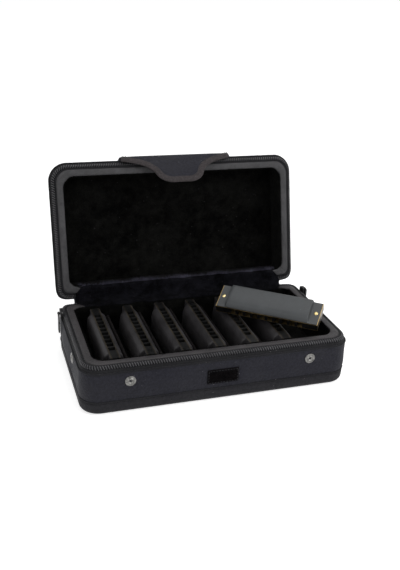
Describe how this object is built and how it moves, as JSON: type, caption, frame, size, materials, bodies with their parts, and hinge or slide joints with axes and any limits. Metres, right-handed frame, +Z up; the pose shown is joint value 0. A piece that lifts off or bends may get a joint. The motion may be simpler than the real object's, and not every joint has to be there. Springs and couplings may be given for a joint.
{
  "type": "harmonica case",
  "caption": "Zipped fabric case with a hinged lid, plush slots and a fold-over flap, holding upright harmonicas and another laid across them.",
  "frame": {"origin": "centre of the flat underside of the base", "axes": "+X along the case's long side to the right as seen from the front, +Y from the front to the hinge, +Z up"},
  "size_m": [0.2664, 0.2065, 0.1845],
  "materials": {
    "outer_nylon": "woven matt nylon",
    "pan_fabric": "woven matt nylon over a stiff pan",
    "stiffener_board": "bare board, hidden",
    "foam_core": "closed-cell foam, hidden",
    "piping": "tight corded piping",
    "rim_leatherette": "fine-grained grey leatherette",
    "zip_tape": "woven tape",
    "zip_coil": "black nylon coil",
    "plush": "short-pile black plush",
    "loop_tape": "fuzzy loop tape",
    "hook_tape": "stiff hook tape",
    "nickel": "nickel plate, lightly worn",
    "webbing": "ribbed binding webbing",
    "slider_metal": "black enamel on zinc",
    "comb_plastic": "moulded black plastic",
    "reed_brass": "cut brass edge",
    "cover_enamel": "matt charcoal enamel on steel",
    "rivet_brass": "polished brass"
  },
  "bodies": {
    "base": {"base_bottom_panel": "pan_fabric", "base_floor_board": "stiffener_board", "base_wall_core": "foam_core", "base_side_cover": "outer_nylon", "base_lower_piping": "piping", "base_upper_seam": "piping", "base_rim_band": "rim_leatherette", "base_zip_tape": "zip_tape", "base_zip_coil": "zip_coil", "base_lining": "plush", "slot_floor_pad": "plush", "slot_dividers": "plush", "front_loop_patch": "loop_tape", "front_studs": "nickel", "side_studs": "nickel", "hinge_fabric": "outer_nylon", "hinge_lining": "plush"},
    "lid": {"lid_top_panel": "pan_fabric", "lid_top_board": "stiffener_board", "lid_wall_core": "foam_core", "lid_side_cover": "outer_nylon", "lid_piping": "piping", "lid_upper_seam": "piping", "lid_rim_band": "rim_leatherette", "lid_zip_tape": "zip_tape", "lid_zip_coil": "zip_coil", "lid_lining": "plush", "lid_side_studs": "nickel", "flap_root_pad": "outer_nylon"},
    "flap": {"flap_upper_panel": "outer_nylon", "flap_upper_binding": "webbing"},
    "flap_tongue": {"flap_tongue_panel": "outer_nylon", "flap_tongue_binding": "webbing", "flap_hook_patch": "hook_tape"},
    "left_slider": {"left_zip_slider": "slider_metal"},
    "right_slider": {"right_zip_slider": "slider_metal"},
    "left_pull": {"left_zip_pull": "slider_metal"},
    "right_pull": {"right_zip_pull": "slider_metal"},
    "harmonica_1": {"harmonica_1_comb": "comb_plastic", "harmonica_1_reed_plates": "reed_brass", "harmonica_1_covers": "cover_enamel"},
    "harmonica_2": {"harmonica_2_comb": "comb_plastic", "harmonica_2_reed_plates": "reed_brass", "harmonica_2_covers": "cover_enamel"},
    "harmonica_3": {"harmonica_3_comb": "comb_plastic", "harmonica_3_reed_plates": "reed_brass", "harmonica_3_covers": "cover_enamel"},
    "harmonica_4": {"harmonica_4_comb": "comb_plastic", "harmonica_4_reed_plates": "reed_brass", "harmonica_4_covers": "cover_enamel"},
    "harmonica_5": {"harmonica_5_comb": "comb_plastic", "harmonica_5_reed_plates": "reed_brass", "harmonica_5_covers": "cover_enamel"},
    "harmonica_6": {"harmonica_6_comb": "comb_plastic", "harmonica_6_reed_plates": "reed_brass", "harmonica_6_covers": "cover_enamel"},
    "loose_harmonica": {"loose_comb": "comb_plastic", "loose_reed_plates": "reed_brass", "loose_covers": "cover_enamel", "loose_rivets": "rivet_brass"}
  },
  "joints": [
    {"name": "lid_hinge", "type": "hinge", "parent": "base", "child": "lid", "pos_m": [0, 0.0692, 0.0483], "axis": [1, 0, 0], "range_deg": [0, 105], "deforming": ["hinge_fabric", "hinge_lining"]},
    {"name": "flap_fold_bend", "type": "hinge", "parent": "lid", "child": "flap", "pos_m": [0, 0.10737, 0.18342], "axis": [1, 0, 0], "range_deg": [-48.5, 0]},
    {"name": "flap_peel", "type": "hinge", "parent": "flap", "child": "flap_tongue", "pos_m": [0, 0.09731, 0.17689], "axis": [1, 0, 0], "range_deg": [-75, 0]},
    {"name": "left_slider_travel", "type": "slide", "parent": "base", "child": "left_slider", "axis": [0, -1, 0], "range_m": [0, 0.088]},
    {"name": "left_pull_swing", "type": "hinge", "parent": "left_slider", "child": "left_pull", "pos_m": [-0.1319, 0.0445, 0.0483], "axis": [0, 1, 0], "range_deg": [0, 90]},
    {"name": "right_slider_travel", "type": "slide", "parent": "base", "child": "right_slider", "axis": [0, -1, 0], "range_m": [0, 0.088]},
    {"name": "right_pull_swing", "type": "hinge", "parent": "right_slider", "child": "right_pull", "pos_m": [0.1319, 0.0445, 0.0483], "axis": [0, -1, 0], "range_deg": [0, 90]},
    {"name": "harmonica_1_lift", "type": "slide", "parent": "base", "child": "harmonica_1", "axis": [0, 0, -1], "range_m": [-0.06, 0]},
    {"name": "harmonica_2_lift", "type": "slide", "parent": "base", "child": "harmonica_2", "axis": [0, 0, -1], "range_m": [-0.06, 0]},
    {"name": "harmonica_3_lift", "type": "slide", "parent": "base", "child": "harmonica_3", "axis": [0, 0, -1], "range_m": [-0.06, 0]},
    {"name": "harmonica_4_lift", "type": "slide", "parent": "base", "child": "harmonica_4", "axis": [0, 0, -1], "range_m": [-0.06, 0]},
    {"name": "harmonica_5_lift", "type": "slide", "parent": "base", "child": "harmonica_5", "axis": [0, 0, -1], "range_m": [-0.05, 0]},
    {"name": "harmonica_6_lift", "type": "slide", "parent": "base", "child": "harmonica_6", "axis": [0, 0, -1], "range_m": [-0.05, 0]},
    {"name": "loose_harmonica_lift", "type": "slide", "parent": "base", "child": "loose_harmonica", "axis": [0, 0, -1], "range_m": [-0.1, 0]}
  ],
  "couplings": [
    {"joint": "flap_fold_bend", "follows": "lid_hinge", "ratio": -0.45714},
    {"joint": "harmonica_5_lift", "follows": "loose_harmonica_lift", "ratio": 0.5},
    {"joint": "harmonica_6_lift", "follows": "loose_harmonica_lift", "ratio": 0.5}
  ]
}
